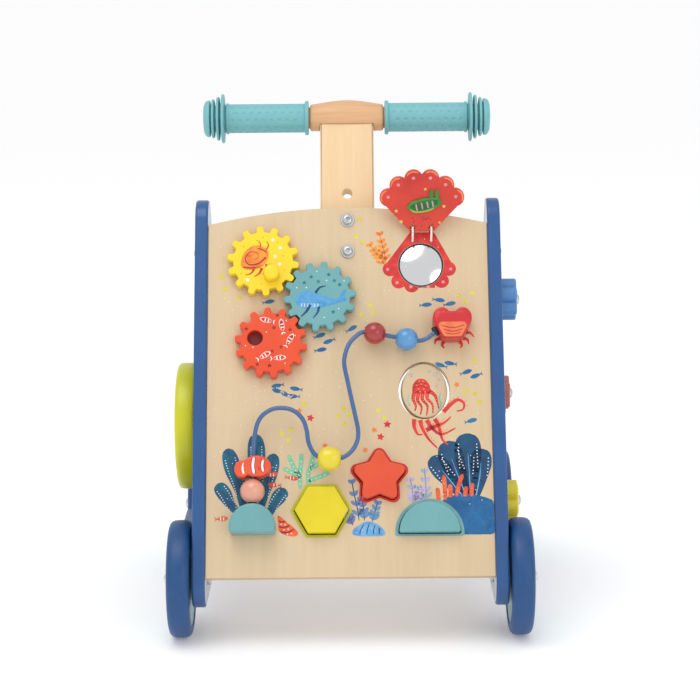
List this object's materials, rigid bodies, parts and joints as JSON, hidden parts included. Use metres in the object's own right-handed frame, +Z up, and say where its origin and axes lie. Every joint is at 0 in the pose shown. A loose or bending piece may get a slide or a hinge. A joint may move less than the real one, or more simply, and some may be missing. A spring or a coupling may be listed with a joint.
{
  "type": "baby walker",
  "caption": "Wooden push-along baby walker with a sloped activity board, meshing gears, bead wire, shape sorter, mirror flap, side spinners and rubber-gripped handle.",
  "frame": {"origin": "on the floor, midway between the four wheels", "axes": "+Z up; -Y is the front that the activity board faces, +Y is where the child walks; +X is to the right as seen from the front"},
  "size_m": [0.3362, 0.355, 0.4725],
  "materials": {
    "blue_paint": "satin blue paint over board",
    "birch": "clear-lacquered plywood",
    "beech": "clear-lacquered solid wood",
    "teal_rubber": "matt dimpled rubber",
    "blue_rubber": "satin rubber",
    "teal_paint": "satin teal paint",
    "yellow_paint": "satin yellow paint",
    "orange_paint": "satin orange paint",
    "red_paint": "satin red paint",
    "lime_paint": "satin lime paint",
    "pink_paint": "glossy pink paint",
    "sky_paint": "glossy light-blue paint",
    "steel": "zinc-plated",
    "wire_coat": "steel wire with a glossy blue coat",
    "green_felt": "felt",
    "white_cord": "twisted cord",
    "mirror_glass": "polished acrylic mirror"
  },
  "bodies": {
    "frame": {"left_side_panel": "blue_paint", "right_side_panel": "blue_paint", "activity_board": "birch", "handle_stem": "birch", "stem_bolt_lower": "steel", "stem_bolt_upper": "steel", "handle_crossbar": "beech", "left_grip": "teal_rubber", "right_grip": "teal_rubber", "axle_bolt_front_left": "steel", "axle_bolt_front_right": "steel", "axle_bolt_rear_left": "steel", "axle_bolt_rear_right": "steel", "flip_pin_top": "steel", "flip_pin_bottom": "steel", "mirror": "mirror_glass", "cord_loop_left": "white_cord", "cord_loop_right": "white_cord", "bead_wire": "wire_coat", "wire_dome": "teal_paint", "crab_block": "red_paint", "sorter_backing": "birch", "side_drum_bolt": "steel", "side_charm_bolt_blue": "steel", "side_charm_bolt_pink": "steel", "side_charm_bolt_yellow": "steel", "left_sill_rail": "blue_paint", "right_sill_rail": "blue_paint", "lower_brace": "birch"},
    "wheel_front_left": {"tyre_front_left": "blue_rubber", "hub_front_left": "teal_paint"},
    "wheel_front_right": {"tyre_front_right": "blue_rubber", "hub_front_right": "teal_paint"},
    "wheel_rear_left": {"tyre_rear_left": "blue_rubber", "hub_rear_left": "teal_paint"},
    "wheel_rear_right": {"tyre_rear_right": "blue_rubber", "hub_rear_right": "teal_paint"},
    "teal_gear": {"gear_teal": "teal_paint", "gear_pin_teal": "beech"},
    "yellow_gear": {"gear_yellow": "yellow_paint", "gear_pin_yellow": "beech", "gear_knob": "yellow_paint"},
    "orange_gear": {"gear_orange": "orange_paint", "gear_pin_orange": "beech"},
    "flip_disc": {"flip_disc": "birch"},
    "shell": {"shell_flap": "red_paint", "slug_applique": "green_felt"},
    "pink_bead": {"bead_pink": "pink_paint"},
    "yellow_bead": {"bead_yellow": "yellow_paint"},
    "fish": {"fish_bead": "orange_paint"},
    "red_bead": {"bead_red": "red_paint"},
    "blue_bead": {"bead_blue": "sky_paint"},
    "hexagon": {"hexagon_block": "lime_paint"},
    "star": {"star_block": "orange_paint"},
    "half_moon": {"half_moon_block": "teal_paint"},
    "drum": {"side_drum": "lime_paint"},
    "blue_charm": {"side_charm_blue": "sky_paint"},
    "pink_charm": {"side_charm_pink": "pink_paint"},
    "yellow_charm": {"side_charm_yellow": "yellow_paint"}
  },
  "joints": [
    {"name": "wheel_front_left_spin", "type": "hinge", "parent": "frame", "child": "wheel_front_left", "pos_m": [-0.15175, -0.125, 0.0525], "axis": [1, 0, 0], "continuous": true},
    {"name": "wheel_front_right_spin", "type": "hinge", "parent": "frame", "child": "wheel_front_right", "pos_m": [0.15175, -0.125, 0.0525], "axis": [1, 0, 0], "continuous": true},
    {"name": "wheel_rear_left_spin", "type": "hinge", "parent": "frame", "child": "wheel_rear_left", "pos_m": [-0.15175, 0.125, 0.0525], "axis": [1, 0, 0], "continuous": true},
    {"name": "wheel_rear_right_spin", "type": "hinge", "parent": "frame", "child": "wheel_rear_right", "pos_m": [0.15175, 0.125, 0.0525], "axis": [1, 0, 0], "continuous": true},
    {"name": "teal_gear_spin", "type": "hinge", "parent": "frame", "child": "teal_gear", "pos_m": [-0.0256, -0.05208, 0.29299], "axis": [0, -0.9026, 0.4305], "continuous": true},
    {"name": "yellow_gear_spin", "type": "hinge", "parent": "frame", "child": "yellow_gear", "pos_m": [-0.07709, -0.03752, 0.32351], "axis": [0, -0.9026, 0.4305], "continuous": true},
    {"name": "orange_gear_spin", "type": "hinge", "parent": "frame", "child": "orange_gear", "pos_m": [-0.07003, -0.07045, 0.25447], "axis": [0, -0.9026, 0.4305], "continuous": true},
    {"name": "disc_flip", "type": "hinge", "parent": "frame", "child": "flip_disc", "pos_m": [0.0676, -0.08356, 0.21305], "axis": [0, 0.4305, 0.9026], "continuous": true},
    {"name": "flap_fold", "type": "hinge", "parent": "frame", "child": "shell", "pos_m": [0.0679, -0.02892, 0.34897], "axis": [1, 0, 0], "range_deg": [-26, 136]},
    {"name": "pink_bead_spin", "type": "hinge", "parent": "frame", "child": "pink_bead", "pos_m": [-0.08592, -0.1398, 0.13695], "axis": [0.0114, 0.4305, 0.9025], "continuous": true},
    {"name": "yellow_bead_spin", "type": "hinge", "parent": "frame", "child": "yellow_bead", "pos_m": [-0.01781, -0.13334, 0.16444], "axis": [0.9978, -0.0286, -0.06], "continuous": true},
    {"name": "fish_slide", "type": "slide", "parent": "frame", "child": "fish", "axis": [0, 0.4305, 0.9026], "range_m": [0, 0.015]},
    {"name": "red_bead_slide", "type": "slide", "parent": "frame", "child": "red_bead", "axis": [0.981, -0.041, -0.1895], "range_m": [0, 0.005]},
    {"name": "blue_bead_slide", "type": "slide", "parent": "frame", "child": "blue_bead", "axis": [0.9845, -0.0316, -0.1726], "range_m": [0, 0.0025]},
    {"name": "hexagon_lift", "type": "slide", "parent": "frame", "child": "hexagon", "axis": [0, -0.9026, 0.4305], "range_m": [0, 0.03]},
    {"name": "star_lift", "type": "slide", "parent": "frame", "child": "star", "axis": [0, -0.9026, 0.4305], "range_m": [0, 0.03]},
    {"name": "half_moon_lift", "type": "slide", "parent": "frame", "child": "half_moon", "axis": [0, -0.9026, 0.4305], "range_m": [0, 0.03]},
    {"name": "drum_spin", "type": "hinge", "parent": "frame", "child": "drum", "pos_m": [-0.149, -0.035, 0.172], "axis": [1, 0, 0], "continuous": true},
    {"name": "blue_charm_spin", "type": "hinge", "parent": "frame", "child": "blue_charm", "pos_m": [0.148, -0.015, 0.285], "axis": [1, 0, 0], "continuous": true},
    {"name": "pink_charm_spin", "type": "hinge", "parent": "frame", "child": "pink_charm", "pos_m": [0.148, 0.052, 0.181], "axis": [1, 0, 0], "continuous": true},
    {"name": "yellow_charm_spin", "type": "hinge", "parent": "frame", "child": "yellow_charm", "pos_m": [0.148, -0.05, 0.102], "axis": [1, 0, 0], "continuous": true}
  ],
  "couplings": [
    {"joint": "yellow_gear_spin", "follows": "teal_gear_spin", "ratio": -1},
    {"joint": "orange_gear_spin", "follows": "teal_gear_spin", "ratio": -1}
  ]
}
